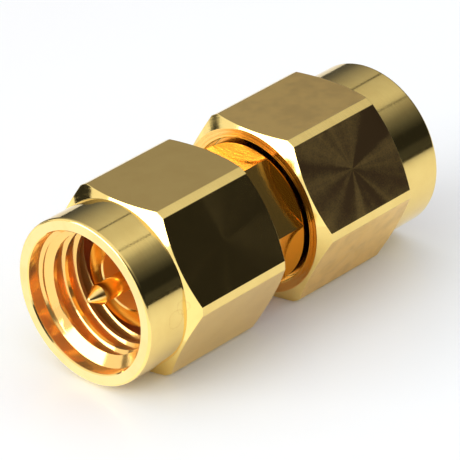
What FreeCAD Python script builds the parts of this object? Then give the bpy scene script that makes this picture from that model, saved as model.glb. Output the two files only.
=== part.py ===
import FreeCAD, Part
import os

import Sketcher

# RF adapter, plug to plug, in gold-plated brass.
#
# Frame: millimetres. The common axis lies along X with its middle at the origin, +Z is up,
# and the adapter lies on one flat of each coupling nut. The front end points to -X.
#
# A one-piece body carries everything. A short hexagon is milled in its middle, with a collar on
# each side of it, then a barrel with a snap-ring groove, and at each end the sleeve that is the
# outer contact. Two split beads hold a double-ended centre contact in the air of the through
# bore, each in a neck of the contact's stem. A coupling nut turns freely on each barrel, held by
# a split snap ring, and a flat gasket lies in a neck at the foot of each sleeve.

SIZES = (
    # Connector body
    ("grip_cut", 0.395, "depth of the middle hexagon's flats below the collar"),
    ("grip_bar", 0.10, "radius step from the collar up to the bar that the hexagon is milled on"),
    ("grip_width", 2.10, "length of the middle hexagon"),
    ("grip_turn", 7.5, "degrees that its corners are turned from the nuts' corners"),
    ("collar_step", 0.19, "radius step from the barrel up to the collar"),
    ("collar_length", 0.90, "length of each collar"),
    ("barrel_length", 2.10, "from the collar to the gasket's shoulder"),
    ("ring_land", 1.00, "barrel between the collar and the snap-ring groove"),
    ("sleeve_diameter", 4.50, "outer contact"),
    ("sleeve_length", 2.63, "from the gasket's shoulder to the reference plane"),
    ("sleeve_break", 0.06, "chamfer on the sleeve's outer edge"),
    ("bore_diameter", 2.92, "through bore, the inside of the outer contact"),
    ("bore_chamfer", 0.12, "chamfer at each mouth of the bore"),
    # Centre contact
    ("stem_diameter", 1.27, "stem inside the bore"),
    ("stem_recess", 0.08, "end of the stem behind the reference plane"),
    ("stem_break", 0.05, "chamfer at the end of the stem"),
    ("pin_diameter", 0.914, "contact pin in front of the stem"),
    ("pin_length", 2.45, "pin from the stem to its tip"),
    ("pin_cone", 0.64, "length of the pin's cone"),
    ("pin_tip", 0.18, "diameter at the end of the cone"),
    ("pin_tip_round", 0.08, "rounding of the tip"),
    # Beads
    ("bead_neck", 1.00, "diameter of the stem inside a bead"),
    ("bead_start", 1.60, "from the middle to a bead's neck"),
    ("bead_length", 1.60, "bead along the axis"),
    ("bead_fit", 0.01, "gap between a bead and the contact or the bore"),
    ("bead_slit", 14, "degrees left out of the split bead"),
    # Gaskets
    ("gasket_thickness", 0.90, "flat gasket"),
    ("gasket_width", 0.96, "gasket from its bore to its edge"),
    ("gasket_neck", 0.17, "radial depth of the neck that keeps the gasket"),
    ("gasket_inset", 0.03, "gasket's edge inside the barrel's edge"),
    ("gasket_fit", 0.01, "radial gap between gasket and neck"),
    ("gasket_end_gap", 0.05, "neck beyond the gasket's face"),
    # Snap rings
    ("ring_thickness", 0.45, "split ring along the axis"),
    ("ring_bite", 0.23, "radial hold in the barrel and in the nut"),
    ("ring_squeeze", 0.25, "room under the ring, to close it for assembly"),
    ("ring_play", 0.05, "gap beside and outside the ring"),
    ("ring_slot", 30, "degrees left out of the split ring"),
    # Coupling nuts, 8.00 across the flats
    ("nut_wall", 0.57, "thinnest wall, between the snap-ring groove and a flat"),
    ("bar_over_flats", 1.00, "diameter of the round bar beyond the flats milled on it"),
    ("nut_hex_length", 5.86, "hexagon with its two chamfers"),
    ("nut_chamfer", 0.325, "axial length of each of those chamfers"),
    ("face_width", 0.445, "flat ring of the back face, around the back bore"),
    ("nose_wall", 0.585, "wall of the round nose around the mouth"),
    ("nose_break", 0.10, "chamfer on the nose's outer edge"),
    ("running_gap", 0.07, "radial gap between the nut's guide bore and the barrel"),
    ("collar_gap", 0.17, "radial gap between the nut's back bore and the collar"),
    ("collar_proud", 0.15, "collar that shows behind the nut"),
    ("collar_end_gap", 0.10, "axial gap in front of the collar"),
    ("guide_overlap", 0.20, "guide bore beyond the gasket's shoulder"),
    # Coupling thread, 1/4-36, with the ridge left to the plain minor diameter
    ("thread_major", 6.35, "thread's major diameter"),
    ("thread_depth", 0.36, "radial depth of the thread"),
    ("thread_length", 2.45, "threaded length"),
    ("relief_step", 0.10, "radius step from the guide bore up to the relief"),
    ("relief_length", 1.30, "relief between the gasket and the thread"),
    ("mouth_gap", 0.125, "radial room of the plain mouth outside the thread"),
    ("mouth_depth", 0.65, "plain mouth in front of the thread"),
    ("mouth_break", 0.06, "chamfer at the mouth's edge"),
    ("back_break", 0.04, "chamfer at the back bore's edge"),
)

SHEET = "Sizes"
CUT_MARGIN = 1.0
TOLERANCE = 1e-6
AXIS = "0"


def size(alias):
    """The expression that reads one driving size."""
    return f"{SHEET}.{alias}"


def half(alias):
    """The expression for a radius or a half width."""
    return f"{size(alias)} / 2"


# Stations along the axis, from the middle outwards
GRIP_END = half("grip_width")
COLLAR_END = f"{GRIP_END} + {size('collar_length')}"
GROOVE_START = f"{COLLAR_END} + {size('ring_land')}"
RING_START = f"{GROOVE_START} + {size('ring_play')}"
RING_END = f"{RING_START} + {size('ring_thickness')}"
GROOVE_END = f"{RING_END} + {size('ring_play')}"
SEAT = f"{COLLAR_END} + {size('barrel_length')}"
REFERENCE = f"{SEAT} + {size('sleeve_length')}"
STEM_END = f"{REFERENCE} - {size('stem_recess')}"
PIN_END = f"{STEM_END} + {size('pin_length')}"
BEAD_START = f"{size('bead_start')} + {size('bead_fit')}"
BEAD_END = f"{BEAD_START} + {size('bead_length')}"
GASKET_END = f"{SEAT} + {size('gasket_thickness')}"
NECK_END = f"{GASKET_END} + {size('gasket_end_gap')}"
NUT_BACK = f"{GRIP_END} + {size('collar_proud')}"
NOSE_START = f"{NUT_BACK} + {size('nut_hex_length')}"
GUIDE_END = f"{SEAT} + {size('guide_overlap')}"
THREAD_END = f"{GASKET_END} + {size('relief_length')}"
MOUTH_END = f"{THREAD_END} + {size('thread_length')}"
NUT_RIM = f"{MOUTH_END} + {size('mouth_depth')}"

# Radii, from the axis outwards
PIN = half("pin_diameter")
BEAD_NECK = half("bead_neck")
STEM = half("stem_diameter")
BORE = half("bore_diameter")
SLEEVE = half("sleeve_diameter")
SLEEVE_NECK = f"{SLEEVE} - {size('gasket_neck')}"
GASKET_BORE = f"{SLEEVE_NECK} + {size('gasket_fit')}"
GASKET_EDGE = f"{GASKET_BORE} + {size('gasket_width')}"
BARREL = f"{GASKET_EDGE} + {size('gasket_inset')}"
RING_INNER = f"{BARREL} - {size('ring_bite')}"
GROOVE_FLOOR = f"{RING_INNER} - {size('ring_squeeze')}"
COLLAR = f"{BARREL} + {size('collar_step')}"
GRIP_BAR = f"{COLLAR} + {size('grip_bar')}"
BACK_BORE = f"{COLLAR} + {size('collar_gap')}"
BACK_FACE = f"{BACK_BORE} + {size('face_width')}"
GUIDE = f"{BARREL} + {size('running_gap')}"
RELIEF = f"{GUIDE} + {size('relief_step')}"
RING_OUTER = f"{GUIDE} + {size('ring_bite')}"
NUT_GROOVE = f"{RING_OUTER} + {size('ring_play')}"
FLAT = f"{NUT_GROOVE} + {size('nut_wall')}"
BAR = f"{FLAT} + {half('bar_over_flats')}"
THREAD_MINOR = f"{half('thread_major')} - {size('thread_depth')}"
MOUTH = f"{half('thread_major')} + {size('mouth_gap')}"
NOSE = f"{MOUTH} + {size('nose_wall')}"

# The rear end is modelled as it stands, and the front end is the same turned about Z
REAR = FreeCAD.Placement()
FRONT = FreeCAD.Placement(FreeCAD.Vector(), FreeCAD.Rotation(FreeCAD.Vector(0, 0, 1), 180))


def make_sheet(doc):
    """Writes the driving sizes, one to a row, each with its alias and its meaning."""
    sheet = doc.addObject("Spreadsheet::Sheet", SHEET)
    for row, (alias, value, meaning) in enumerate(SIZES, start=1):
        sheet.set(f"A{row}", alias)
        sheet.set(f"B{row}", str(value))
        sheet.set(f"C{row}", meaning)
        sheet.setAlias(f"B{row}", alias)
    doc.recompute()
    return sheet


def number(doc, expression):
    """The present value of an expression on the driving sizes."""
    return float(doc.getObject(SHEET).evalExpression(expression))


def new_body(doc, label, placement=REAR):
    """An empty body whose label names its file."""
    body = doc.addObject("PartDesign::Body", label)
    body.Label = label
    body.Placement = placement
    return body


def origin_plane(body, role):
    """One of the body's own origin planes, by its role."""
    return next(item for item in body.Origin.OriginFeatures if item.Role == role)


def new_sketch(body, name, role):
    """A sketch on one of the body's origin planes."""
    sketch = body.newObject("Sketcher::SketchObject", f"{body.Label}_{name}")
    sketch.AttachmentSupport = [(origin_plane(body, role), "")]
    sketch.MapMode = "FlatFace"
    return sketch


def bind(sketch, kind, *targets, name, expression):
    """Adds one dimension to a sketch and binds it to an expression."""
    value = number(sketch.Document, expression)
    index = sketch.addConstraint(Sketcher.Constraint(kind, *targets, value))
    sketch.renameConstraint(index, name)
    sketch.setExpression(f"Constraints.{name}", expression)


def outline(sketch, corners):
    """Draws a closed outline of straight lines through (axial, radial) expressions."""
    doc = sketch.Document
    points = [
        FreeCAD.Vector(number(doc, axial), number(doc, radial), 0) for axial, radial in corners
    ]
    count = len(points)
    for k in range(count):
        sketch.addGeometry(Part.LineSegment(points[k], points[(k + 1) % count]), False)
    for k in range(count):
        sketch.addConstraint(Sketcher.Constraint("Coincident", k, 2, (k + 1) % count, 1))
    for k, (axial, radial) in enumerate(corners):
        if axial == AXIS:
            sketch.addConstraint(Sketcher.Constraint("PointOnObject", k, 1, -2))
        else:
            bind(sketch, "DistanceX", -1, 1, k, 1, name=f"station_{k}", expression=axial)
        if radial == AXIS:
            sketch.addConstraint(Sketcher.Constraint("PointOnObject", k, 1, -1))
        else:
            bind(sketch, "DistanceY", -1, 1, k, 1, name=f"radius_{k}", expression=radial)


def turned(body, corners, angle=None):
    """Revolves an outline about X, a full turn or the angle of an expression."""
    sketch = new_sketch(body, "profile", "XY_Plane")
    outline(sketch, corners)
    revolution = body.newObject("PartDesign::Revolution", f"{body.Label}_turned")
    revolution.Profile = sketch
    revolution.ReferenceAxis = (sketch, ["H_Axis"])
    revolution.Angle = 360
    if angle:
        revolution.setExpression("Angle", angle)
    sketch.Visibility = False
    body.Document.recompute()
    return revolution


def both_ends(body, *features):
    """Mirrors features about the middle plane."""
    mirrored = body.newObject("PartDesign::Mirrored", f"{body.Label}_both_ends")
    mirrored.Originals = list(features)
    mirrored.MirrorPlane = (origin_plane(body, "YZ_Plane"), [""])
    body.Tip = mirrored
    body.Document.recompute()
    return mirrored


def mill_hexagon(body, flats, bar_radius, length, turn=None):
    """Mills six flats over a length that is centred on the middle plane."""
    doc = body.Document
    sketch = new_sketch(body, "flats", "YZ_Plane")
    corner = f"{flats} / 2 / cos(30 deg)"
    radius = number(doc, corner)
    turns = [FreeCAD.Rotation(FreeCAD.Vector(0, 0, 1), 60 * k) for k in range(6)]
    points = [turn_k.multVec(FreeCAD.Vector(radius, 0, 0)) for turn_k in turns]
    for k in range(6):
        sketch.addGeometry(Part.LineSegment(points[k], points[(k + 1) % 6]), False)
    centre = FreeCAD.Vector()
    normal = FreeCAD.Vector(0, 0, 1)
    guide = sketch.addGeometry(Part.Circle(centre, normal, radius), True)
    outer = sketch.addGeometry(
        Part.Circle(centre, normal, number(doc, bar_radius) + CUT_MARGIN), False
    )
    for k in range(6):
        sketch.addConstraint(Sketcher.Constraint("Coincident", k, 2, (k + 1) % 6, 1))
    for k in range(1, 6):
        sketch.addConstraint(Sketcher.Constraint("PointOnObject", k, 1, guide))
        sketch.addConstraint(Sketcher.Constraint("Equal", 0, k))
    sketch.addConstraint(Sketcher.Constraint("PointOnObject", 0, 1, -1))
    for circle in (guide, outer):
        sketch.addConstraint(Sketcher.Constraint("Coincident", circle, 3, -1, 1))
    bind(sketch, "Radius", guide, name="corner_radius", expression=corner)
    bind(sketch, "Radius", outer, name="cut_radius", expression=f"{bar_radius} + {CUT_MARGIN}")
    if turn:
        sketch.AttachmentOffset = FreeCAD.Placement(
            FreeCAD.Vector(), FreeCAD.Rotation(FreeCAD.Vector(0, 0, -1), number(doc, turn))
        )
        sketch.setExpression("AttachmentOffset.Rotation.Angle", f"{turn} * 1 deg")
    pocket = body.newObject("PartDesign::Pocket", f"{body.Label}_hexagon")
    pocket.Profile = sketch
    pocket.SideType = "Symmetric"
    pocket.Type = "Length"
    pocket.setExpression("Length", length)
    sketch.Visibility = False
    doc.recompute()
    return pocket


def round_edges(body, base, radius, rims):
    """Rounds the circular edges of a feature that lie at the given (station, radius) pairs."""
    doc = body.Document
    wanted = [(number(doc, station), number(doc, rim)) for station, rim in rims]
    names = []
    for index, edge in enumerate(base.Shape.Edges, start=1):
        if not isinstance(edge.Curve, Part.Circle):
            continue
        for station, rim in wanted:
            at_station = abs(abs(edge.Curve.Center.x) - station) < TOLERANCE
            if at_station and abs(edge.Curve.Radius - rim) < TOLERANCE:
                names.append(f"Edge{index}")
    fillet = body.newObject("PartDesign::Fillet", f"{body.Label}_round")
    fillet.Base = (base, names)
    fillet.setExpression("Radius", radius)
    body.Tip = fillet
    doc.recompute()
    return fillet


def make_connector_body(doc):
    """The one-piece body: one end turned and mirrored, then the middle hexagon milled."""
    body = new_body(doc, "connector_body")
    bore_mouth = f"{BORE} + {size('bore_chamfer')}"
    end = turned(body, (
        (AXIS, BORE),
        (f"{REFERENCE} - {size('bore_chamfer')}", BORE),
        (REFERENCE, bore_mouth),
        (REFERENCE, f"{SLEEVE} - {size('sleeve_break')}"),
        (f"{REFERENCE} - {size('sleeve_break')}", SLEEVE),
        (NECK_END, SLEEVE),
        (NECK_END, SLEEVE_NECK),
        (SEAT, SLEEVE_NECK),
        (SEAT, BARREL),
        (GROOVE_END, BARREL),
        (GROOVE_END, GROOVE_FLOOR),
        (GROOVE_START, GROOVE_FLOOR),
        (GROOVE_START, BARREL),
        (COLLAR_END, BARREL),
        (COLLAR_END, COLLAR),
        (GRIP_END, COLLAR),
        (GRIP_END, GRIP_BAR),
        (AXIS, GRIP_BAR),
    ))
    both_ends(body, end)
    grip_flats = f"2 * ({COLLAR} - {size('grip_cut')})"
    pocket = mill_hexagon(body, grip_flats, GRIP_BAR, size("grip_width"), turn=size("grip_turn"))
    body.Tip = pocket
    return body


def make_centre_contact(doc):
    """The double-ended contact: a stem with a neck for each bead, and a coned pin at each end."""
    body = new_body(doc, "centre_contact")
    tip = half("pin_tip")
    neck_end = f"{BEAD_END} + {size('bead_fit')}"
    end = turned(body, (
        (AXIS, AXIS),
        (PIN_END, AXIS),
        (PIN_END, tip),
        (f"{PIN_END} - {size('pin_cone')}", PIN),
        (STEM_END, PIN),
        (STEM_END, f"{STEM} - {size('stem_break')}"),
        (f"{STEM_END} - {size('stem_break')}", STEM),
        (neck_end, STEM),
        (neck_end, BEAD_NECK),
        (size("bead_start"), BEAD_NECK),
        (size("bead_start"), STEM),
        (AXIS, STEM),
    ))
    whole = both_ends(body, end)
    round_edges(body, whole, size("pin_tip_round"), [(PIN_END, tip)])
    return body


def make_bead(doc, label, placement):
    """The split bead that centres the contact's stem in the bore."""
    body = new_body(doc, label, placement)
    inner = f"{BEAD_NECK} + {size('bead_fit')}"
    outer = f"{BORE} - {size('bead_fit')}"
    corners = ((BEAD_START, inner), (BEAD_END, inner), (BEAD_END, outer), (BEAD_START, outer))
    turned(body, corners, angle=f"(360 - {size('bead_slit')}) * 1 deg")
    return body


def make_gasket(doc, label, placement):
    """The flat gasket in the sleeve's neck, against the end of the barrel."""
    body = new_body(doc, label, placement)
    corners = (
        (SEAT, GASKET_BORE),
        (GASKET_END, GASKET_BORE),
        (GASKET_END, GASKET_EDGE),
        (SEAT, GASKET_EDGE),
    )
    turned(body, corners)
    return body


def make_snap_ring(doc, label, placement):
    """The split ring that lies half in the barrel's groove and half in the nut's."""
    body = new_body(doc, label, placement)
    corners = (
        (RING_START, RING_INNER),
        (RING_END, RING_INNER),
        (RING_END, RING_OUTER),
        (RING_START, RING_OUTER),
    )
    turned(body, corners, angle=f"(360 - {size('ring_slot')}) * 1 deg")
    return body


def make_coupling_nut(doc, label, placement):
    """The coupling nut: turned inside and out, then six flats milled."""
    body = new_body(doc, label, placement)
    back_edge = f"{BACK_BORE} + {size('back_break')}"
    turned(body, (
        (NUT_BACK, back_edge),
        (NUT_BACK, BACK_FACE),
        (f"{NUT_BACK} + {size('nut_chamfer')}", BAR),
        (f"{NOSE_START} - {size('nut_chamfer')}", BAR),
        (NOSE_START, NOSE),
        (f"{NUT_RIM} - {size('nose_break')}", NOSE),
        (NUT_RIM, f"{NOSE} - {size('nose_break')}"),
        (NUT_RIM, f"{MOUTH} + {size('mouth_break')}"),
        (f"{NUT_RIM} - {size('mouth_break')}", MOUTH),
        (MOUTH_END, MOUTH),
        (f"{MOUTH_END} - {size('thread_depth')}", THREAD_MINOR),
        (THREAD_END, THREAD_MINOR),
        (THREAD_END, RELIEF),
        (GUIDE_END, RELIEF),
        (GUIDE_END, GUIDE),
        (GROOVE_END, GUIDE),
        (GROOVE_END, NUT_GROOVE),
        (GROOVE_START, NUT_GROOVE),
        (GROOVE_START, GUIDE),
        (f"{COLLAR_END} + {size('collar_end_gap')}", GUIDE),
        (f"{COLLAR_END} + {size('collar_end_gap')}", BACK_BORE),
        (f"{NUT_BACK} + {size('back_break')}", BACK_BORE),
    ))
    pocket = mill_hexagon(body, f"2 * ({FLAT})", BAR, f"2 * ({NOSE_START})")
    body.Tip = pocket
    return body


def check(doc, bodies):
    """Stops if any object failed or any piece isn't one valid closed solid."""
    for item in doc.Objects:
        if "Invalid" in item.State or "Error" in item.State:
            raise RuntimeError(f"{item.Name} failed: {item.State}")
    for body in bodies:
        shape = body.Shape
        if shape.isNull() or not shape.isValid() or len(shape.Solids) != 1:
            raise RuntimeError(f"{body.Label} is not one valid solid")


def main():
    """Builds every piece of the adapter and writes one STEP file for each."""
    doc = FreeCAD.newDocument("rf_adapter")
    make_sheet(doc)
    bodies = [make_connector_body(doc), make_centre_contact(doc)]
    for end, placement in (("front", FRONT), ("rear", REAR)):
        bodies.append(make_bead(doc, f"{end}_bead", placement))
        bodies.append(make_gasket(doc, f"{end}_gasket", placement))
        bodies.append(make_snap_ring(doc, f"{end}_snap_ring", placement))
        bodies.append(make_coupling_nut(doc, f"{end}_coupling_nut", placement))
    doc.recompute()
    check(doc, bodies)
    os.makedirs("parts", exist_ok=True)
    for body in bodies:
        body.Shape.exportStep(f"parts/{body.Label}.step")
        print(f"{body.Label}: {body.Shape.Volume:.3f} mm3")


main()
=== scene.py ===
"""The looks of a plug-to-plug RF adapter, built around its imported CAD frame."""

import logging
import math
from collections.abc import Callable, Sequence
from dataclasses import dataclass, field
from enum import Enum
from typing import Any

import bmesh
import bpy
from mathutils import Matrix, Vector


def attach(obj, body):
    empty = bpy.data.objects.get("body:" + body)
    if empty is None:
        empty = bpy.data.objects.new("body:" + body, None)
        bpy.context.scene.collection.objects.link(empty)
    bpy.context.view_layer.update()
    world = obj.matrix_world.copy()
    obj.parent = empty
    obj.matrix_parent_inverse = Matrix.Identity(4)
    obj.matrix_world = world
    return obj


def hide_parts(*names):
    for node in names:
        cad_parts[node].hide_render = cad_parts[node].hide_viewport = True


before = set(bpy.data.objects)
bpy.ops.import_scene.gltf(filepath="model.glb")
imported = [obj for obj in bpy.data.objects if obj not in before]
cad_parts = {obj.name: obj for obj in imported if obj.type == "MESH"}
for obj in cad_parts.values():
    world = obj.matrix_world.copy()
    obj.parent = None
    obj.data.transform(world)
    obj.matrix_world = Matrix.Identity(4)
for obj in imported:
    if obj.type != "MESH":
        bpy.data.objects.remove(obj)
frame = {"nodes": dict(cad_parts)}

LOG = logging.getLogger("rf_adapter")
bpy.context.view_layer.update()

MM = 0.001
QUARTER_TURN = math.pi / 2
SEGMENTS = 192
MERGE = 1e-5
NOISE_ROUGHNESS = 0.6
FLAT_WEIGHT = 80
FLAT_THRESHOLD = 0.004

Corner = tuple[float, float]
Colour = tuple[float, float, float]
Point = tuple[float, float, float]

WHITE: Colour = (1.0, 1.0, 1.0)


class End(Enum):
    """The two ends of the adapter, by the side of the middle plane that they lie on."""

    FRONT = "front"
    REAR = "rear"


class Cut(Enum):
    """What a cutting tool leaves of a workpiece."""

    OUTSIDE = "DIFFERENCE"
    INSIDE = "INTERSECT"


class Region(Enum):
    """The regions of a nut that are plated alike, by their material slots. The faced, back and
    inside plates also carry painted light and painted shade.
    """

    TURNED = 0
    MILLED = 1
    FACED = 2
    BACK = 3
    INSIDE = 4


class BodyRegion(Enum):
    """The regions of the body that are plated alike, by their material slots. The barrel's and the
    bore's plates also carry painted bounce light.
    """

    BARREL = 0
    SLEEVE = 1
    BORE = 2


class Signal:
    """A number that flows through a node tree, with Python's own operators."""

    def __init__(self, bench: "Bench", socket: bpy.types.NodeSocket) -> None:
        """Wraps one output socket of a bench's tree."""
        self.bench = bench
        self.socket = socket

    def __add__(self, other: "Signal | float") -> "Signal":
        """The sum."""
        return self.bench.maths("ADD", self, other)

    def __sub__(self, other: "Signal | float") -> "Signal":
        """The difference."""
        return self.bench.maths("SUBTRACT", self, other)

    def __rsub__(self, other: float) -> "Signal":
        """The difference, taken from a plain number."""
        return self.bench.maths("SUBTRACT", other, self)

    def __mul__(self, other: "Signal | float") -> "Signal":
        """The product."""
        return self.bench.maths("MULTIPLY", self, other)

    def __truediv__(self, other: "Signal | float") -> "Signal":
        """The quotient."""
        return self.bench.maths("DIVIDE", self, other)

    def __abs__(self) -> "Signal":
        """The size without its sign."""
        return self.bench.maths("ABSOLUTE", self)

    __radd__ = __add__
    __rmul__ = __mul__


@dataclass
class Place:
    """Where a shaded point lies, in millimetres, as seen from the common axis."""

    where: bpy.types.NodeSocket
    x: Signal
    y: Signal
    z: Signal
    radius: Signal
    turn: Signal


class Bench:
    """One node tree, and the single method that makes its nodes."""

    def __init__(self, tree: bpy.types.NodeTree) -> None:
        """Clears a node tree to build in."""
        self.tree = tree
        tree.nodes.clear()

    @classmethod
    def for_material(cls, name: str) -> tuple["Bench", bpy.types.Material]:
        """Starts a new material.

        Args:
            name: The material's name.

        Returns:
            The bench on its tree, and the material.
        """
        material = bpy.data.materials.new(name)
        material.use_nodes = True
        return cls(material.node_tree), material

    def node(
        self,
        kind: str,
        settings: dict[str, Any] | None = None,
        inputs: dict[str | int, Any] | None = None,
    ) -> bpy.types.Node:
        """Adds one node.

        Args:
            kind: The node's type.
            settings: Its own settings, set before its sockets. Stops are a ramp's places and tones.
            inputs: A value, a socket or a signal for each named or numbered input.

        Returns:
            The node.
        """
        made = self.tree.nodes.new(kind)
        for key, value in (settings or {}).items():
            if key == "stops":
                elements = made.color_ramp.elements
                while len(elements) < len(value):
                    elements.new(1.0)
                for element, (position, tone) in zip(elements, value):
                    element.position = position
                    element.color = (tone, tone, tone, 1.0)
            else:
                setattr(made, key, value)
        for key, value in (inputs or {}).items():
            self.feed(made.inputs[key], value)
        return made

    def feed(self, target: bpy.types.NodeSocket, value: Any) -> None:
        """Links a socket or a signal to an input, or sets the input to a value.

        Args:
            target: The input.
            value: What it gets. A colour may have three parts.
        """
        source = value.socket if isinstance(value, Signal) else value
        if isinstance(source, bpy.types.NodeSocket):
            self.tree.links.new(source, target)
        elif target.type == "RGBA":
            target.default_value = (*source[:3], 1.0)
        else:
            target.default_value = source

    def maths(self, operation: str, *values: Signal | float) -> Signal:
        """One step of arithmetic on numbers.

        Args:
            operation: The Math node's operation.
            values: Its inputs in order.

        Returns:
            The result.
        """
        made = self.node("ShaderNodeMath", {"operation": operation}, dict(enumerate(values)))
        return Signal(self, made.outputs[0])

    def place(self) -> Place:
        """Reads the object coordinates.

        Returns:
            The point in millimetres, its distance from the axis, and its turn about it.
        """
        read = self.node("ShaderNodeTexCoord").outputs["Object"]
        inputs = {"Vector": read, "Scale": 1 / MM}
        where = self.node("ShaderNodeVectorMath", {"operation": "SCALE"}, inputs).outputs[0]
        split = self.node("ShaderNodeSeparateXYZ", None, {0: where})
        x, y, z = (Signal(self, output) for output in split.outputs)
        return Place(where, x, y, z, self.length(y, z), self.maths("ARCTAN2", z, 0.0 - y))

    def length(self, first: Signal, second: Signal) -> Signal:
        """The length of a step that goes two ways, square to each other."""
        return self.maths("SQRT", first * first + second * second)

    def point(self, *values: Signal | float) -> bpy.types.NodeSocket:
        """Joins three numbers to a vector."""
        return self.node("ShaderNodeCombineXYZ", None, dict(enumerate(values))).outputs[0]

    def noise(self, where: bpy.types.NodeSocket, scale: float, detail: float = 2.0) -> Signal:
        """Smooth noise, between 0 and 1.

        Args:
            where: The vector that it is read at.
            scale: Its density.
            detail: Its octaves.

        Returns:
            The noise.
        """
        inputs = {"Vector": where, "Scale": scale, "Detail": detail, "Roughness": NOISE_ROUGHNESS}
        return Signal(self, self.node("ShaderNodeTexNoise", None, inputs).outputs[0])

    def rise(self, value: Signal, low: float, high: float) -> Signal:
        """A smooth step.

        Args:
            value: What is stepped.
            low: Where the step starts, at 0.
            high: Where it ends, at 1. It may be below low.

        Returns:
            The step.
        """
        made = self.node(
            "ShaderNodeMapRange",
            {"interpolation_type": "SMOOTHSTEP"},
            {0: value, 1: min(low, high), 2: max(low, high)},
        )
        step = Signal(self, made.outputs[0])
        return step if low < high else 1.0 - step

    def blend(self, share: Signal, first: Any, second: Any) -> bpy.types.NodeSocket:
        """Mixes two colours.

        Args:
            share: How much of the second there is.
            first: A colour or a socket.
            second: A colour or a socket.

        Returns:
            The mixed colour.
        """
        made = self.node("ShaderNodeMix", {"data_type": "RGBA"}, {0: share, 6: first, 7: second})
        return made.outputs[2]

    def bump(self, height: Signal, depth: float) -> bpy.types.NodeSocket:
        """Relief from a height.

        Args:
            height: The height, about 0 to 1.
            depth: The real depth of a height of 1, in millimetres.

        Returns:
            The normal.
        """
        inputs = {"Strength": 1.0, "Distance": depth * MM, "Height": height}
        return self.node("ShaderNodeBump", None, inputs).outputs[0]

    def glow(self, strength: Signal | float, colour: Any = WHITE) -> bpy.types.Node:
        """Adds a plain glow."""
        return self.node("ShaderNodeEmission", None, {"Color": colour, "Strength": strength})

    def end(self, shader: bpy.types.Node, kind: str = "Material") -> None:
        """Ends the tree of a material or a world in a shader."""
        self.node(f"ShaderNodeOutput{kind}", None, {"Surface": shader.outputs[0]})

    def surface(self, **inputs: Any) -> None:
        """Ends the tree in one Principled shader, with the given inputs."""
        shader = self.node("ShaderNodeBsdfPrincipled")
        sockets = {socket.name.lower().replace(" ", "_"): socket.name for socket in shader.inputs}
        for key, value in inputs.items():
            self.feed(shader.inputs[sockets[key]], value)
        self.end(shader)


@dataclass(frozen=True)
class Stain:
    """A dried drop on the plate: where it lies and how wide it is, in millimetres."""

    x: float
    turn: float
    radius: float
    size: float
    strength: float
    line: float = 0.05
    unevenness: float = 0.35
    wobble_scale: float = 3.0

    def outline(self, bench: Bench, place: Place) -> Signal:
        """The faint outline that the drop left.

        Args:
            bench: The material's bench.
            place: The shaded point.

        Returns:
            The outline's share.
        """
        across = (place.turn - self.turn) * self.radius
        wobble = bench.noise(place.where, self.wobble_scale)
        distance = bench.length(place.x - self.x, across)
        edge = abs(distance + (wobble - 0.5) * self.unevenness - self.size)
        return bench.rise(edge, self.line, 0.0) * self.strength


@dataclass(frozen=True)
class Turning:
    """The lathe's fine rings about the axis."""

    ring_scale: float = 9.0
    ring_detail: float = 4.0
    streak_density: float = 6.0
    streak_turns: float = 0.8
    streak_range: Corner = (0.4, 0.8)

    def read(self, bench: Bench, place: Place, seed: float) -> tuple[Signal, Signal, float]:
        """Reads the rings at a point.

        Args:
            bench: The material's bench.
            place: The shaded point.
            seed: The plate's own seed.

        Returns:
            The height of the rings, how much they scatter, and no darkening.
        """
        rings = bench.point(place.x, place.radius, seed)
        streaks = bench.point(
            place.x * self.streak_density,
            place.radius * self.streak_density,
            place.turn * self.streak_turns,
        )
        shine = bench.rise(bench.noise(streaks, 1.0, 1.0), *self.streak_range)
        return bench.noise(rings, self.ring_scale, self.ring_detail), shine, 0.0


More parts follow.
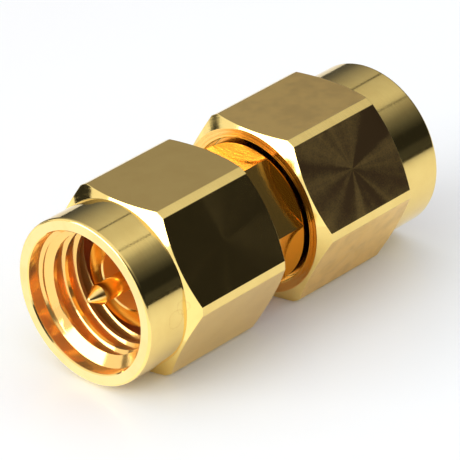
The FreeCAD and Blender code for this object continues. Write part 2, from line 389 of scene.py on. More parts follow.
@dataclass(frozen=True)
class Milling:
    """The cutter's circular marks about the middle of each flat, which shine as rays.

    A range is where a smooth step starts and ends: of a noise, or of the height in millimetres.
    """

    low_scatter: float = 0.1
    # how far the upper side flats darken towards the deep tone, between the middle plane and the
    # top flat
    side_darkening: float = 0.0
    flat_centre: float = 4.13
    ray_offset: float = 7.3
    cut_offset: float = 5.1
    wedge_scale: float = 1.7
    wedge_range: Corner = (0.33, 0.67)
    wedge_share: float = 0.6
    line_scale: float = 7.0
    line_share: float = 0.5
    cut_scale: float = 5.0
    arc_range: Corner = (0.45, 0.65)
    arc_share: float = 0.1
    grain_scale: float = 14.0
    grain_level: float = 0.2
    grain_share: float = 0.7
    depth: float = 0.4
    below_top: Corner = (3.9, 3.7)
    above_middle: Corner = (-0.1, 0.1)
    towards_foot: Corner = (1.8, -1.6)

    def read(self, bench: Bench, place: Place, seed: float) -> tuple[Signal, Signal, Signal]:
        """Reads the cuts at a point.

        Args:
            bench: The material's bench.
            place: The shaded point.
            seed: The plate's own seed.

        Returns:
            The height of the cuts, how much they scatter, and how much darker the upper side flats
            turn.
        """
        sixth = math.pi / 3
        side = bench.maths("ROUND", (place.turn - sixth / 2) / sixth)
        off = place.turn - (side * sixth + sixth / 2)
        across = place.radius * bench.maths("SINE", off)
        along = abs(place.x) - self.flat_centre
        way = bench.maths("ARCTAN2", across, along)
        around = bench.point(
            bench.maths("COSINE", way), bench.maths("SINE", way), side * self.ray_offset + seed
        )
        rings = bench.point(bench.length(across, along), side * self.cut_offset, seed)
        cuts = bench.noise(rings, self.cut_scale)
        grain = bench.noise(place.where, self.grain_scale)
        wedges = bench.rise(bench.noise(around, self.wedge_scale, 1.0), *self.wedge_range)
        fan = wedges * bench.rise(place.z, *self.below_top)
        lines = (bench.noise(around, self.line_scale) - 0.5) * fan
        arcs = bench.rise(cuts, *self.arc_range) * fan
        rays = fan * self.wedge_share + lines * self.line_share + arcs * self.arc_share
        sparkle = (grain - self.grain_level) * self.grain_share
        foot = bench.rise(place.z, *self.towards_foot) * self.low_scatter
        shine = rays + sparkle + foot
        # darker on the upper side flats, between the middle plane and the top flat, away from the
        # rays
        upper = bench.rise(place.z, *self.below_top) * bench.rise(place.z, *self.above_middle)
        return (cuts + grain) * self.depth, shine, (1.0 - shine) * upper * self.side_darkening


@dataclass(frozen=True)
class GoldPlate:
    """Bright gold plate over machined brass, with a little cloud, specks and dried drops."""

    name: str
    marks: Turning | Milling = Turning()
    colour: Colour = (1.0, 0.745, 0.255)
    deep: Colour = (0.84, 0.55, 0.16)
    roughness: float = 0.06
    scatter: float = 0.04
    relief: float = 0.002
    metal: float = 1.0
    seed: float = 0.0
    stains: tuple[Stain, ...] = ()
    cloud_scale: float = 0.9
    cloud_range: Corner = (0.35, 0.75)
    cloud_share: float = 0.25
    cloud_scatter: float = 0.02
    speck_scale: float = 7.0
    speck_detail: float = 3.0
    speck_range: Corner = (0.74, 0.80)
    speck_share: float = 0.5
    dirt_scatter: float = 0.25

    def material(self) -> bpy.types.Material:
        """Builds the plate's node tree.

        Returns:
            The material.
        """
        bench, material = Bench.for_material(self.name)
        place = bench.place()
        height, shine, darkening = self.marks.read(bench, place, self.seed)
        clouds = bench.point(place.x + self.seed, place.y, place.z)
        cloud = bench.noise(clouds, self.cloud_scale)
        dots = bench.point(place.x, place.y + self.seed, place.z)
        specks = bench.noise(dots, self.speck_scale, self.speck_detail)
        dirt = bench.rise(specks, *self.speck_range) * self.speck_share
        for stain in self.stains:
            dirt = dirt + stain.outline(bench, place)
        # cloud, specks, drops and the side flats' darkening all draw towards the deep tone
        deep_share = bench.rise(cloud, *self.cloud_range) * self.cloud_share + dirt + darkening
        scattered = shine * self.scatter + cloud * self.cloud_scatter + dirt * self.dirt_scatter
        bench.surface(
            base_color=bench.blend(deep_share, self.colour, self.deep),
            metallic=self.metal,
            roughness=self.roughness + scattered,
            normal=bench.bump(height, self.relief),
        )
        return material


@dataclass(frozen=True)
class Moulded:
    """A moulded polymer or rubber, with a little mottling and a soft skin."""

    name: str
    colour: Colour
    shade: Colour
    roughness: float
    mottle_scale: float = 6.0
    mottle_detail: float = 4.0
    mottle_range: Corner = (0.3, 0.7)
    mottle_scatter: float = 0.15
    skin_scale: float = 30.0
    skin_detail: float = 3.0
    skin_depth: float = 0.004

    def material(self) -> bpy.types.Material:
        """Builds the moulding's node tree.

        Returns:
            The material.
        """
        bench, material = Bench.for_material(self.name)
        where = bench.place().where
        mottle = bench.noise(where, self.mottle_scale, self.mottle_detail)
        skin = bench.noise(where, self.skin_scale, self.skin_detail)
        share = bench.rise(mottle, *self.mottle_range)
        bench.surface(
            base_color=bench.blend(share, self.colour, self.shade),
            roughness=self.roughness + mottle * self.mottle_scatter,
            normal=bench.bump(skin, self.skin_depth),
        )
        return material


@dataclass(frozen=True)
class Drawn:
    """Drawn spring bronze, with fine lines along its turn."""

    name: str
    colour: Colour
    shade: Colour
    roughness: float = 0.22
    line_density: float = 4.0
    line_scale: float = 5.0
    line_detail: float = 3.0
    line_scatter: float = 0.15
    line_depth: float = 0.001

    def material(self) -> bpy.types.Material:
        """Builds the bronze's node tree.

        Returns:
            The material.
        """
        bench, material = Bench.for_material(self.name)
        place = bench.place()
        along = bench.point(
            place.x * self.line_density, place.radius * self.line_density, place.turn
        )
        lines = bench.noise(along, self.line_scale, self.line_detail)
        bench.surface(
            base_color=bench.blend(lines, self.colour, self.shade),
            metallic=1.0,
            roughness=self.roughness + lines * self.line_scatter,
            normal=bench.bump(lines, self.line_depth),
        )
        return material


def nothing_selected() -> None:
    """Leaves every object unselected, because an operator acts on all that is selected."""
    if bpy.context.object and bpy.context.object.mode != "OBJECT":
        bpy.ops.object.mode_set(mode="OBJECT")
    bpy.ops.object.select_all(action="DESELECT")


def only_selected(thing: bpy.types.Object) -> None:
    """Leaves one object selected and active."""
    nothing_selected()
    bpy.context.view_layer.objects.active = thing
    thing.select_set(True)


def open_mesh(thing: bpy.types.Object, kind: str) -> bmesh.types.BMesh:
    """Opens the active object in edit mode, with nothing in its mesh selected.

    Args:
        thing: The object.
        kind: What is selected there: VERT, EDGE or FACE.

    Returns:
        Its mesh.
    """
    bpy.ops.object.mode_set(mode="EDIT")
    bpy.ops.mesh.select_mode(type=kind)
    bpy.ops.mesh.select_all(action="DESELECT")
    return bmesh.from_edit_mesh(thing.data)


def apply_place() -> None:
    """Brings the place, turn and scale of what is selected into its mesh."""
    bpy.ops.object.transform_apply(location=True, rotation=True, scale=True)


def only_mirrored(thing: bpy.types.Object, finish: bpy.types.Material) -> None:
    """Gives a studio piece its material and shows it in the plate's reflections alone.

    Args:
        thing: The studio piece.
        finish: Its material.
    """
    thing.data.materials.append(finish)
    for ray in ("visible_camera", "visible_diffuse", "visible_shadow"):
        setattr(thing, ray, False)


def both_ways(half: Sequence[Corner]) -> list[Corner]:
    """The whole outline, from front to rear, of a piece that is alike both ways."""
    return [*((-station, radius) for station, radius in reversed(half)), *half]


class Workpiece:
    """One mesh on the bench, in millimetres until it is finished."""

    def __init__(self, thing: bpy.types.Object, name: str) -> None:
        """Takes a new object, with its place brought into its mesh."""
        self.thing = thing
        thing.name = name
        apply_place()

    @classmethod
    def turned(cls, name: str, profile: Sequence[Corner], segments: int = SEGMENTS) -> "Workpiece":
        """Turns a profile about X: a circle, extruded and resized from corner to corner.

        Args:
            name: The piece's name.
            profile: The (station, radius) corners. A ring's profile closes on its first corner.
            segments: The steps round the axis.

        Returns:
            The workpiece, open at its first and last corner.
        """
        nothing_selected()
        station, radius = profile[0]
        bpy.ops.mesh.primitive_circle_add(
            vertices=segments,
            radius=radius,
            location=(station, 0, 0),
            rotation=(0, QUARTER_TURN, 0),
        )
        piece = cls(bpy.context.object, name)
        bpy.ops.object.mode_set(mode="EDIT")
        bpy.ops.mesh.select_all(action="SELECT")
        for next_station, next_radius in profile[1:]:
            step = (next_station - station, 0, 0)
            bpy.ops.mesh.extrude_edges_move(TRANSFORM_OT_translate={"value": step})
            growth = next_radius / radius
            bpy.ops.transform.resize(
                value=(1, growth, growth), center_override=(next_station, 0, 0)
            )
            station, radius = next_station, next_radius
        bpy.ops.object.mode_set(mode="OBJECT")
        return piece

    @classmethod
    def prism(cls, name: str, flats: float, length: float, turn: float = 0.0) -> "Workpiece":
        """A hexagonal bar about X.

        Args:
            name: The piece's name.
            flats: Its size across flats.
            length: Its length, about the middle plane.
            turn: How far its corners are turned from the Y axis, from front to top.

        Returns:
            The workpiece.
        """
        nothing_selected()
        bpy.ops.mesh.primitive_cylinder_add(
            vertices=6, radius=flats / math.sqrt(3), depth=length, rotation=(0, QUARTER_TURN, 0)
        )
        piece = cls(bpy.context.object, name)
        piece.thing.rotation_euler.x = -turn
        apply_place()
        return piece

    def edit(self, edges: Callable[[bmesh.types.BMEdge], bool]) -> int:
        """Goes into edit mode with only the wanted edges selected.

        Args:
            edges: Says whether an edge is wanted.

        Returns:
            How many there are.
        """
        only_selected(self.thing)
        mesh = open_mesh(self.thing, "EDGE")
        wanted = [edge for edge in mesh.edges if edges(edge)]
        for edge in wanted:
            edge.select = True
        mesh.select_flush_mode()
        bmesh.update_edit_mesh(self.thing.data)
        return len(wanted)

    def close_ring(self) -> None:
        """Joins the first corner's loop to the last one's."""
        self.edit(lambda edge: edge.is_boundary)
        bpy.ops.mesh.bridge_edge_loops()
        self.tidy()

    def close_ends(self) -> None:
        """Fills each open end with a flat face."""
        self.edit(lambda edge: edge.is_boundary)
        bpy.ops.mesh.fill_holes(sides=0)
        self.tidy()

    def tidy(self) -> None:
        """Merges doubles and turns every face outwards."""
        bpy.ops.mesh.select_all(action="SELECT")
        bpy.ops.mesh.remove_doubles(threshold=MERGE)
        bpy.ops.mesh.normals_make_consistent(inside=False)
        bpy.ops.object.mode_set(mode="OBJECT")

    def apply(self, kind: str, **settings: Any) -> None:
        """Adds one modifier with its settings and applies it."""
        only_selected(self.thing)
        modifier = self.thing.modifiers.new(kind.lower(), kind)
        for key, value in settings.items():
            setattr(modifier, key, value)
        bpy.ops.object.modifier_apply(modifier=modifier.name)

    def cut(self, tool: "Workpiece", keep: Cut) -> None:
        """Cuts this piece with a tool, which is used up.

        Args:
            tool: The cutting tool.
            keep: What is kept of this piece.
        """
        self.apply("BOOLEAN", operation=keep.value, solver="MANIFOLD", object=tool.thing)
        bpy.data.objects.remove(tool.thing)

    def round_edges(
        self, width: float, steps: int, wanted: Callable[[Vector, float], bool], sharp: float = 24.0
    ) -> None:
        """Rounds the sharp edges that lie where they are wanted.

        Args:
            width: How far the rounding reaches from the edge.
            steps: Its faces across.
            wanted: Takes an edge's middle and that middle's distance from the axis.
            sharp: The least angle of an edge that counts as sharp, in degrees.
        """
        limit = math.radians(sharp)

        def is_wanted(edge: bmesh.types.BMEdge) -> bool:
            """Whether an edge is sharp and lies where it is wanted."""
            if len(edge.link_faces) != 2 or edge.calc_face_angle(0.0) < limit:
                return False
            middle = (edge.verts[0].co + edge.verts[1].co) / 2
            return wanted(middle, math.hypot(middle.y, middle.z))

        if self.edit(is_wanted):
            bpy.ops.mesh.bevel(offset=width, segments=steps, affect="EDGES", clamp_overlap=True)
        self.tidy()

    def copy_turned(self, name: str) -> "Workpiece":
        """Copies the piece and turns the copy half round about Z.

        Args:
            name: The copy's name.

        Returns:
            The copy, with its own mesh.
        """
        only_selected(self.thing)
        bpy.ops.object.duplicate(linked=False)
        copied = bpy.context.object
        copied.rotation_euler.z = math.pi
        return Workpiece(copied, name)

    def finish(self, smooth: float = 38.0) -> None:
        """Shades the piece smooth between its edges and brings it to the frame's metres.

        Args:
            smooth: The widest angle, in degrees, that is still shaded smooth.
        """
        only_selected(self.thing)
        bpy.ops.object.shade_smooth_by_angle(angle=math.radians(smooth))
        self.apply("WEIGHTED_NORMAL", keep_sharp=True, weight=FLAT_WEIGHT, thresh=FLAT_THRESHOLD)
        self.thing.scale = (MM, MM, MM)
        apply_place()

    def dress(
        self,
        plates: Sequence[GoldPlate],
        region: Callable[[bmesh.types.BMFace], Enum] | None = None,
    ) -> None:
        """Plates the piece.

        Args:
            plates: The plates, one to a slot.
            region: Says by its value which of them a face takes. All take the first without it.
        """
        self.thing.data.materials.clear()
        for plate in plates:
            self.thing.data.materials.append(plate.material())
        if region is None:
            return
        only_selected(self.thing)
        for index in range(1, len(plates)):
            mesh = open_mesh(self.thing, "FACE")
            for face in mesh.faces:
                face.select = region(face).value == index
            bmesh.update_edit_mesh(self.thing.data)
            self.thing.active_material_index = index
            bpy.ops.object.material_slot_assign()
            bpy.ops.object.mode_set(mode="OBJECT")

    def settle(self, body: str, node: str, slot: str) -> None:
        """Puts the piece in the frame.

        Args:
            body: The CAD body that it rides on.
            node: The CAD node that it stands for.
            slot: Not used.
        """
        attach(self.thing, body)
        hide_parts(node)
        LOG.info("%s: %d faces, for %s", self.thing.name, len(self.thing.data.polygons), node)


@dataclass
class Thread:
    """The 1/4-36 inside thread, cut by one tool on a helix, in millimetres."""

    pitch: float = 0.7056
    major: float = 3.175
    minor: float = 2.815
    half_angle: float = 30.0
    root_flat: float = 0.10
    inner: float = 2.70
    start: float = 5.55
    turns: float = 4.60
    steps: int = 96

    def tool(self) -> Workpiece:
        """Sweeps the groove's section along the helix.

        Returns:
            The cutting tool.
        """
        nothing_selected()
        depth = self.major - self.inner
        mouth = self.root_flat + 2 * depth * math.tan(math.radians(self.half_angle))
        bpy.ops.mesh.primitive_plane_add(size=1, rotation=(QUARTER_TURN, 0, 0))
        tool = Workpiece(bpy.context.object, "thread_tool")
        tool.thing.scale = (mouth, 1, depth)
        tool.thing.location = (self.start, 0, self.inner + depth / 2)
        apply_place()
        tool.edit(lambda edge: all(vert.co.z > self.minor for vert in edge.verts))
        narrow = self.root_flat / mouth
        bpy.ops.transform.resize(value=(narrow, 1, 1), center_override=(self.start, 0, 0))
        bpy.ops.mesh.select_all(action="SELECT")
        bpy.ops.mesh.delete(type="ONLY_FACE")
        bpy.ops.object.mode_set(mode="OBJECT")
        steps = round(self.steps * self.turns)
        tool.apply(
            "SCREW",
            axis="X",
            angle=2 * math.pi * self.turns,
            screw_offset=self.pitch * self.turns,
            steps=steps,
            render_steps=steps,
        )
        tool.close_ends()
        return tool


@dataclass
class CouplingNuts:
    """The two coupling nuts: one is turned, milled and threaded, and the other is its copy."""

    flats: float = 8.0
    bar: float = 4.50
    back: float = 1.20
    chamfer: float = 0.325
    face: float = 3.885
    nose_start: float = 7.06
    rim: float = 9.35
    nose: float = 3.885
    nose_round: float = 0.15
    nose_steps: int = 6
    mouth: float = 3.30
    mouth_break: float = 0.06
    mouth_end: float = 8.70
    thread_start: float = 8.34
    minor: float = 2.815
    thread_end: float = 6.25
    relief: float = 3.25
    guide_end: float = 4.25
    guide: float = 3.15
    groove: float = 3.43
    groove_start: float = 2.95
    groove_end: float = 3.50
    back_bore: float = 3.44
    back_bore_end: float = 2.05
    back_break: float = 0.04
    edge: float = 0.02
    edge_steps: int = 2
    level_normal: float = 0.01
    end_normal: float = 0.99
    thread: Thread = field(default_factory=Thread)

    def turn(self) -> Workpiece:
        """Turns the rear nut, inside and out.

        Returns:
            The turned ring.
        """
        ring = Workpiece.turned(
            "rear_plated_nut",
            (
                (self.back, self.back_bore + self.back_break),
                (self.back, self.face),
                (self.back + self.chamfer, self.bar),
                (self.nose_start - self.chamfer, self.bar),
                (self.nose_start, self.nose),
                (self.rim, self.nose),
                (self.rim, self.mouth + self.mouth_break),
                (self.rim - self.mouth_break, self.mouth),
                (self.mouth_end, self.mouth),
                (self.thread_start, self.minor),
                (self.thread_end, self.minor),
                (self.thread_end, self.relief),
                (self.guide_end, self.relief),
                (self.guide_end, self.guide),
                (self.groove_end, self.guide),
                (self.groove_end, self.groove),
                (self.groove_start, self.groove),
                (self.groove_start, self.guide),
                (self.back_bore_end, self.guide),
                (self.back_bore_end, self.back_bore),
                (self.back + self.back_break, self.back_bore),
            ),
        )
        ring.close_ring()
        return ring

    def build(self) -> dict[End, Workpiece]:
        """Makes both nuts.

        Returns:
            The nut at each end.
        """
        rear = self.turn()
        rear.cut(Workpiece.prism("flats", self.flats, 4 * self.rim), Cut.INSIDE)
        rear.cut(self.thread.tool(), Cut.OUTSIDE)
        at_rim = self.rim - self.edge
        rear.round_edges(
            self.nose_round,
            self.nose_steps,
            lambda middle, r: middle.x > at_rim and r > self.nose - self.edge,
        )
        rear.round_edges(
            self.edge,
            self.edge_steps,
            lambda middle, r: middle.x < at_rim and r > self.mouth - self.edge,
        )
        front = rear.copy_turned("front_plated_nut")
        return {End.FRONT: front, End.REAR: rear}

    def dress(self, nuts: dict[End, Workpiece]) -> None:
        """Finishes, plates and settles both nuts.

        Args:
            nuts: The nut at each end.
        """
        stains = (
            Stain(x=-7.75, turn=math.radians(-2.0), radius=self.nose, size=0.42, strength=0.35),
            Stain(x=-7.30, turn=math.radians(4.0), radius=self.nose, size=0.30, strength=0.3),
        )
        for end, nut in nuts.items():
            nut.finish()
            front = end is End.FRONT
            name = f"{end.value}_nut"
            plates = {
                Region.TURNED: GoldPlate(
                    f"{name}_turned",
                    roughness=0.06 if front else 0.08,
                    stains=stains if front else (),
                ),
                # the rear nut's upper side flats darken towards its deep tone, between the middle
                # plane and the top flat
                Region.MILLED: GoldPlate(
                    f"{name}_milled",
                    marks=Milling() if front else Milling(low_scatter=0.6, side_darkening=1.5),
                    colour=(1.0, 0.70 if front else 0.68, 0.23),
                    deep=(0.84, 0.55, 0.16) if front else (0.42, 0.25, 0.105),
                    roughness=0.08 if front else 0.285,
                    scatter=0.14 if front else 0.08,
                    relief=0.0006,
                    seed=1.7 if front else 9.2,
                ),
                # painted light: the rim's face gets a paler, yellower plate than the rest of the
                # nut, for a brighter lip
                Region.FACED: GoldPlate(
                    f"{name}_faced", colour=(1.0, 0.75, 0.33), relief=0.012, seed=4.4
                ),
                # painted shade: the back faces get a darker, redder plate, standing in for light
                # bounced between the nuts and the body
                Region.BACK: GoldPlate(
                    f"{name}_back", colour=(1.0, 0.56, 0.16), roughness=0.07, relief=0.03, seed=3.1
                ),
                # painted bounce light: the threaded inside gets a more orange, partly diffuse
                # plate, so it catches light that many reflections inside would bring
                Region.INSIDE: GoldPlate(
                    f"{name}_inside", colour=(1.0, 0.62, 0.19), metal=0.80, roughness=0.08, seed=6.3
                ),
            }
            nut.dress([plates[region] for region in Region], self.region)
            nut.settle(name, f"{end.value}_coupling_nut", "gold_nut")

    def region(self, face: bmesh.types.BMFace) -> Region:
        """Finds the region that a face of a finished nut lies in.

        Args:
            face: The face, in metres.

        Returns:
            The region.
        """
        middle = face.calc_center_median() / MM
        radius = math.hypot(middle.y, middle.z)
        level = abs(face.normal.x) < self.level_normal
        if level and abs(face.normal.dot(middle) - self.flats / 2) < MM:
            return Region.MILLED
        if radius < self.mouth + self.edge and abs(middle.x) > self.guide_end:
            return Region.INSIDE
        if abs(face.normal.x) < self.end_normal:
            return Region.TURNED
        return Region.FACED if abs(middle.x) > self.nose_start else Region.BACK


@dataclass
class PlatedBody:
    """The one-piece body between the nuts, with the two outer contacts."""

    grip: float = 5.75
    grip_half: float = 1.05
    grip_turn: float = 7.5
    bar: float = 3.37
    collar: float = 3.27
    collar_end: float = 1.95
    barrel: float = 3.08
    groove: float = 2.60
    groove_start: float = 2.95
    groove_end: float = 3.50
    seat: float = 4.05
    neck: float = 2.08
    neck_end: float = 5.00
    sleeve: float = 2.25
    reference: float = 6.68
    bore: float = 1.46
    bore_chamfer: float = 0.06
    sleeve_break: float = 0.06
    edge: float = 0.015
    edge_steps: int = 2
    band_bore: float = 1.76
    band_radius: float = 4.27
    band_segments: int = 48

    def half(self) -> list[Corner]:
        """The outline of the rear half, from the middle to the bore's mouth."""
        return [
            (self.grip_half, self.bar),
            (self.grip_half, self.collar),
            (self.collar_end, self.collar),
            (self.collar_end, self.barrel),
            (self.groove_start, self.barrel),
            (self.groove_start, self.groove),
            (self.groove_end, self.groove),
            (self.groove_end, self.barrel),
            (self.seat, self.barrel),
            (self.seat, self.neck),
            (self.neck_end, self.neck),
            (self.neck_end, self.sleeve),
            (self.reference - self.sleeve_break, self.sleeve),
            (self.reference, self.sleeve - self.sleeve_break),
            (self.reference, self.bore + self.bore_chamfer),
            (self.reference - self.bore_chamfer, self.bore),
        ]

    def build(self) -> Workpiece:
        """Turns the body and mills its middle hexagon.

        Returns:
            The body.
        """
        body = Workpiece.turned("plated_body", both_ways(self.half()))
        body.close_ring()
        band = Workpiece.turned(
            "band",
            (
                (-self.grip_half, self.band_bore),
                (-self.grip_half, self.band_radius),
                (self.grip_half, self.band_radius),
                (self.grip_half, self.band_bore),
            ),
            self.band_segments,
        )
        band.close_ring()
        turn = math.radians(self.grip_turn)
        hexagon = Workpiece.prism("grip", self.grip, 4 * self.grip_half, turn)
        band.cut(hexagon, Cut.OUTSIDE)
        body.cut(band, Cut.OUTSIDE)
        body.round_edges(self.edge, self.edge_steps, lambda middle, r: r > self.bore + self.edge)
        return body

    def dress(self, body: Workpiece) -> None:
        """Finishes, plates and settles the body.

        Args:
            body: The body.
        """
        body.finish()
        plates = {
            # painted bounce light: the barrel's plate is a deeper orange than the nuts', standing
            # in for light bounced between the nuts and the middle hexagon
            BodyRegion.BARREL: GoldPlate(
                "body_plate", colour=(1.0, 0.58, 0.13), roughness=0.05, relief=0.004, seed=5.5
            ),
            BodyRegion.SLEEVE: GoldPlate(
                "sleeve_plate", colour=(1.0, 0.66, 0.22), roughness=0.12, seed=2.2
            ),
            # painted bounce light: the bore's plate is a saturated orange and mostly diffuse, so it
            # catches light that many reflections inside would bring
            BodyRegion.BORE: GoldPlate(
                "bore_plate", colour=(1.0, 0.45, 0.07), metal=0.3, roughness=0.30, seed=8.1
            ),
        }
        body.dress([plates[region] for region in BodyRegion], self.region)
        body.settle("adapter_body", "connector_body", "gold_body")

    def region(self, face: bmesh.types.BMFace) -> BodyRegion:
        """Finds the region that a face of the finished body lies in.

        Args:
            face: The face, in metres.

        Returns:
            The region.
        """
        middle = face.calc_center_median() / MM
        if math.hypot(middle.y, middle.z) < self.bore + self.edge:
            return BodyRegion.BORE
        return BodyRegion.SLEEVE if abs(middle.x) > self.seat else BodyRegion.BARREL


@dataclass
class PlatedContact:
    """The double-ended contact: its stem with two necks, and a coned pin at each end."""

    tip: float = 9.05
    tip_radius: float = 0.09
    tip_round: float = 0.08
    tip_steps: int = 5
    tip_reach: float = 0.01
    cone: float = 0.64
    pin: float = 0.457
    stem_end: float = 6.60
    stem: float = 0.635
    stem_break: float = 0.05
    neck: float = 0.50
    neck_start: float = 1.60
    neck_end: float = 3.22
    segments: int = 96
    smooth: float = 25.0

    def half(self) -> list[Corner]:
        """The outline of the rear half, from the middle to the tip."""
        return [
            (self.neck_start, self.stem),
            (self.neck_start, self.neck),
            (self.neck_end, self.neck),
            (self.neck_end, self.stem),
            (self.stem_end - self.stem_break, self.stem),
            (self.stem_end, self.stem - self.stem_break),
            (self.stem_end, self.pin),
            (self.tip - self.cone, self.pin),
            (self.tip, self.tip_radius),
        ]

    def build(self) -> Workpiece:
        """Turns the contact and rounds its tips.

        Returns:
            The contact.
        """
        contact = Workpiece.turned("plated_contact", both_ways(self.half()), self.segments)
        contact.close_ends()
        at_tip = self.tip - self.tip_reach
        contact.round_edges(
            self.tip_round, self.tip_steps, lambda middle, r: abs(middle.x) > at_tip
        )
        return contact

    def dress(self, contact: Workpiece) -> None:
        """Finishes, plates and settles the contact.

        Args:
            contact: The contact.
        """
        contact.finish(self.smooth)
        plate = GoldPlate("contact_plate", colour=(1.0, 0.68, 0.24), seed=7.7, roughness=0.12)
        contact.dress([plate])
        contact.settle("adapter_body", "centre_contact", "gold_contact")


@dataclass
class Fillings:
    """The pieces that keep their CAD shape: gaskets, beads and snap rings."""

    silicone: Moulded = Moulded("silicone", (0.42, 0.05, 0.02), (0.30, 0.03, 0.012), 0.45)
    amber: Moulded = Moulded("amber_polymer", (0.60, 0.30, 0.09), (0.50, 0.23, 0.06), 0.32)
    bronze: Drawn = Drawn("spring_bronze", (0.72, 0.45, 0.24), (0.55, 0.32, 0.16))

    def dress(self, nodes: dict[str, bpy.types.Object]) -> None:
        """Gives each of these nodes its material.

        Args:
            nodes: The CAD nodes by name.
        """
        for kind, finish in (
            ("gasket", self.silicone),
            ("bead", self.amber),
            ("snap_ring", self.bronze),
        ):
            material = finish.material()
            for end in End:
                node = nodes[f"{end.value}_{kind}"]
                for slot in node.material_slots:
                    slot.material = material
                LOG.info("%s: %s", node.name, finish.name)


@dataclass
class Screen:
    """The light tent's wall, which the plate mirrors: its tones by height and by bearing."""

    radius: float = 0.30
    height: float = 0.55
    level: float = -0.004
    first: float = -166.0
    last: float = 100.0
    steps: int = 180
    cool: Colour = (0.96, 1.0, 1.03)
    span: float = 60.0
    front: tuple[Corner, ...] = (
        ((0.0, 0.05), (7.0, 0.045), (10.0, 0.020), (21.0, 0.020), (28.0, 0.07))
        + ((36.0, 0.16), (43.0, 0.34), (49.0, 0.75), (60.0, 0.85))
    )
    back: tuple[Corner, ...] = (
        ((0.0, 0.06), (14.0, 0.13), (28.6, 0.31), (40.0, 0.46), (50.0, 0.60), (60.0, 0.70))
    )
    turn_range: Corner = (-25.0, 12.0)
    seams: tuple[float, ...] = (28.0, -20.0)
    seam_range: Corner = (1.6, 0.6)
    seam_depth: float = 0.75
    cool_range: Corner = (0.03, 0.25)

    def build(self) -> None:
        """Bends the wall out of a circle: the arc is kept and drawn up."""
        nothing_selected()
        bpy.ops.mesh.primitive_circle_add(
            vertices=self.steps, radius=self.radius, location=(0, 0, self.level)
        )
        wall = bpy.context.object
        wall.name = "tent_wall"
        mesh = open_mesh(wall, "VERT")
        for vert in mesh.verts:
            bearing = math.degrees(math.atan2(vert.co.y, vert.co.x))
            vert.select = not self.first < bearing < self.last
        bmesh.update_edit_mesh(wall.data)
        bpy.ops.mesh.delete(type="VERT")
        bpy.ops.mesh.select_all(action="SELECT")
        rise = (0, 0, self.height)
        bpy.ops.mesh.extrude_edges_move(TRANSFORM_OT_translate={"value": rise})
        bpy.ops.object.mode_set(mode="OBJECT")
        only_mirrored(wall, self.material())

    def material(self) -> bpy.types.Material:
        """Builds the wall's glow.

        Returns:
            The material.
        """
        bench, material = Bench.for_material("tent_wall")
        place = bench.place()
        degrees = 180.0 / math.pi
        height = bench.maths("ARCTAN2", place.z, bench.length(place.x, place.y)) * degrees
        bearing = bench.maths("ARCTAN2", place.y, place.x) * degrees
        front, back = (self.tones(bench, height, stops) for stops in (self.front, self.back))
        share = bench.rise(bearing, *self.turn_range)
        tone = front * (1.0 - share) + back * share
        for seam in self.seams:
            shade = bench.rise(abs(bearing - seam), *self.seam_range) * self.seam_depth
            tone = tone * (1.0 - shade)
        tint = bench.blend(bench.rise(tone, *self.cool_range), self.cool, WHITE)
        bench.end(bench.glow(tone, tint))
        return material

    def tones(self, bench: Bench, height: Signal, stops: Sequence[Corner]) -> Signal:
        """Reads one side's tones at a height.

        Args:
            bench: The wall's bench.
            height: The height in degrees.
            stops: The (height, tone) pairs.

        Returns:
            The tone.
        """
        scaled = [(degree / self.span, tone) for degree, tone in stops]
        ramp = bench.node("ShaderNodeValToRGB", {"stops": scaled}, {0: height / self.span})
        return Signal(bench, ramp.outputs[0])


@dataclass(frozen=True)
class Flag:
    """A dark flag, which only the plate mirrors, in metres and degrees."""

    name: str
    place: Point
    size: Point
    turn: float
    colour: Colour = (0.012, 0.012, 0.012)
    roughness: float = 0.9

    def build(self) -> None:
        """Stands up the flag."""
        nothing_selected()
        bpy.ops.mesh.primitive_cube_add(size=1, location=self.place)
        flag = bpy.context.object
        flag.name = self.name
        flag.scale = self.size
        flag.rotation_euler.z = math.radians(self.turn)
        bench, material = Bench.for_material(self.name)
        bench.surface(base_color=self.colour, roughness=self.roughness)
        only_mirrored(flag, material)


@dataclass(frozen=True)
class Card:
    """The bright card beside the front nut, which its rim mirrors, in metres."""

    place: Point = (-0.054, 0.030, -0.0039)
    size: float = 0.09
    strength: float = 1.2

    def build(self) -> None:
        """Lays the card, which glows upwards and is clear from below."""
        nothing_selected()
        bpy.ops.mesh.primitive_plane_add(size=self.size, location=self.place)
        card = bpy.context.object
        card.name = "white_card"
        apply_place()
        bench, material = Bench.for_material("white_card")
        below = bench.node("ShaderNodeNewGeometry").outputs["Backfacing"]
        clear = bench.node("ShaderNodeBsdfTransparent")
        sides = {0: below, 1: bench.glow(self.strength).outputs[0], 2: clear.outputs[0]}
        bench.end(bench.node("ShaderNodeMixShader", None, sides))
        only_mirrored(card, material)


@dataclass(frozen=True)
class Lamp:
    """One soft lamp that looks at the object: its place and size in metres, its power in watts."""

    name: str = "window"
    place: Point = (-0.535, 0.215, 0.215)
    width: float = 0.54
    height: float = 0.28
    power: float = 2.35

    def build(self) -> None:
        """Hangs the lamp."""
        data = bpy.data.lights.new(self.name, "AREA")
        data.shape = "RECTANGLE"
        data.size, data.size_y = self.width, self.height
        data.energy = self.power
        lamp = bpy.data.objects.new(self.name, data)
        lamp.location = self.place
        lamp.rotation_euler = Vector(self.place).to_track_quat("Z", "Y").to_euler()
        bpy.context.scene.collection.objects.link(lamp)


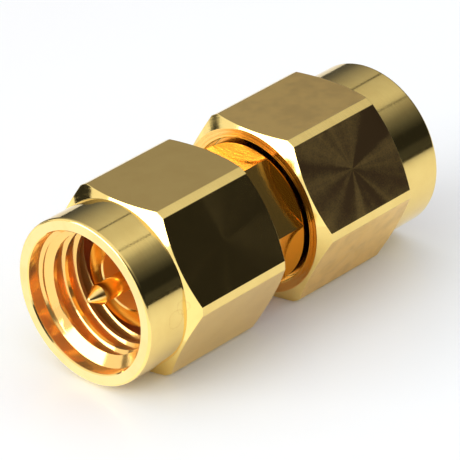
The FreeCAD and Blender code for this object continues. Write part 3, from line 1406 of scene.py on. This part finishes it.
@dataclass(frozen=True)
class Floor:
    """The pale floor, in millimetres: painted light makes it white close to the part, and painted
    shade greyer a long way back from it.
    """

    level: float = -4.01
    size: float = 3000.0
    roughness: float = 0.35
    # painted light: whiter and cooler than the middle tone, close to the part
    painted_light_near: Colour = (0.95, 0.972, 0.995)
    middle: Colour = (0.93, 0.937, 0.952)
    # painted shade: grey a long way off, where the floor's light falls off
    painted_shade_far: Colour = (0.50, 0.50, 0.50)
    painted_light_range: Corner = (12.0, 30.0)
    painted_shade_range: Corner = (25.0, 120.0)

    def build(self) -> None:
        """Lays the floor, which keeps the shadow."""
        nothing_selected()
        bpy.ops.mesh.primitive_plane_add(size=self.size * MM, location=(0, 0, self.level * MM))
        floor = bpy.context.object
        floor.name = "floor"
        bench, material = Bench.for_material("floor")
        place = bench.place()
        # painted light: the floor is whiter and cooler close to the axis
        around = bench.rise(place.radius, *self.painted_light_range)
        # painted shade: the floor greys off a long way back from the part, as x - y grows
        painted_shade_share = bench.rise(place.x - place.y, *self.painted_shade_range)
        tone = bench.blend(painted_shade_share, bench.blend(around, self.painted_light_near, self.middle), self.painted_shade_far)
        bench.surface(base_color=tone, roughness=self.roughness)
        floor.data.materials.append(material)


@dataclass
class Studio:
    """The camera, the floor, the tent, its flags, the card and the lamp."""

    azimuth: float = -46.26
    elevation: float = 28.616
    roll: float = -2.538
    distance: float = 197.036
    focal_pixels: float = 4503.168
    shift: tuple[float, float] = (-0.090, -0.400)
    image: int = 460
    sensor: float = 36.0
    nearest: float = 0.01
    farthest: float = 20.0
    sky: float = 0.95
    floor: Floor = Floor()
    screen: Screen = field(default_factory=Screen)
    flags: tuple[Flag, ...] = (
        Flag("table_edge", (0.047, -0.053, -0.0018), (0.16, 0.002, 0.0044), 41.5),
        Flag("side_flag", (-0.0376, 0.0706, 0.002), (0.017, 0.002, 0.014), 28.0),
    )
    card: Card = Card()
    lamp: Lamp = Lamp()

    def camera(self) -> None:
        """Sets the camera where the photograph was taken from."""
        azimuth, elevation = math.radians(self.azimuth), math.radians(self.elevation)
        flat = math.cos(elevation)
        back = Vector((math.sin(azimuth) * flat, -math.cos(azimuth) * flat, math.sin(elevation)))
        level = Vector((0, 0, 1)).cross(back).normalized()
        upright = back.cross(level)
        roll = math.radians(self.roll)
        right = level * math.cos(roll) + upright * math.sin(roll)
        up = upright * math.cos(roll) - level * math.sin(roll)
        place = back * self.distance + right * self.shift[0] + up * self.shift[1]
        data = bpy.data.cameras.new("camera")
        data.sensor_width = self.sensor
        data.lens = self.focal_pixels * self.sensor / self.image
        data.clip_start = self.nearest
        data.clip_end = self.farthest
        camera = bpy.data.objects.new("camera", data)
        turned = Matrix((right, up, back)).transposed().to_4x4()
        camera.matrix_world = Matrix.Translation(place * MM) @ turned
        bpy.context.scene.collection.objects.link(camera)
        bpy.context.scene.camera = camera

    def world(self) -> None:
        """Fills the room with even light, and with plain white where it is seen or mirrored."""
        world = bpy.data.worlds.new("room")
        bpy.context.scene.world = world
        world.use_nodes = True
        bench = Bench(world.node_tree)
        rays = bench.node("ShaderNodeLightPath")
        seen = Signal(bench, rays.outputs["Is Camera Ray"])
        seen = seen + Signal(bench, rays.outputs["Is Glossy Ray"])
        seen = seen + Signal(bench, rays.outputs["Is Transmission Ray"])
        white = bench.maths("MINIMUM", seen, 1.0)
        strength = self.sky + white * (1.0 - self.sky)
        inputs = {"Color": WHITE, "Strength": strength}
        bench.end(bench.node("ShaderNodeBackground", None, inputs), "World")

    def build(self) -> None:
        """Sets up the whole studio."""
        self.camera()
        self.world()
        for piece in (self.floor, self.screen, *self.flags, self.card, self.lamp):
            piece.build()
        bpy.context.scene.view_settings.view_transform = "Standard"


def main() -> None:
    """Builds and dresses the adapter, piece by piece, and sets up the studio."""
    logging.basicConfig(level=logging.INFO, format="%(name)s: %(message)s")
    for part in (CouplingNuts(), PlatedBody(), PlatedContact()):
        part.dress(part.build())
    Fillings().dress(frame["nodes"])
    Studio().build()


if __name__ == "__main__":
    main()
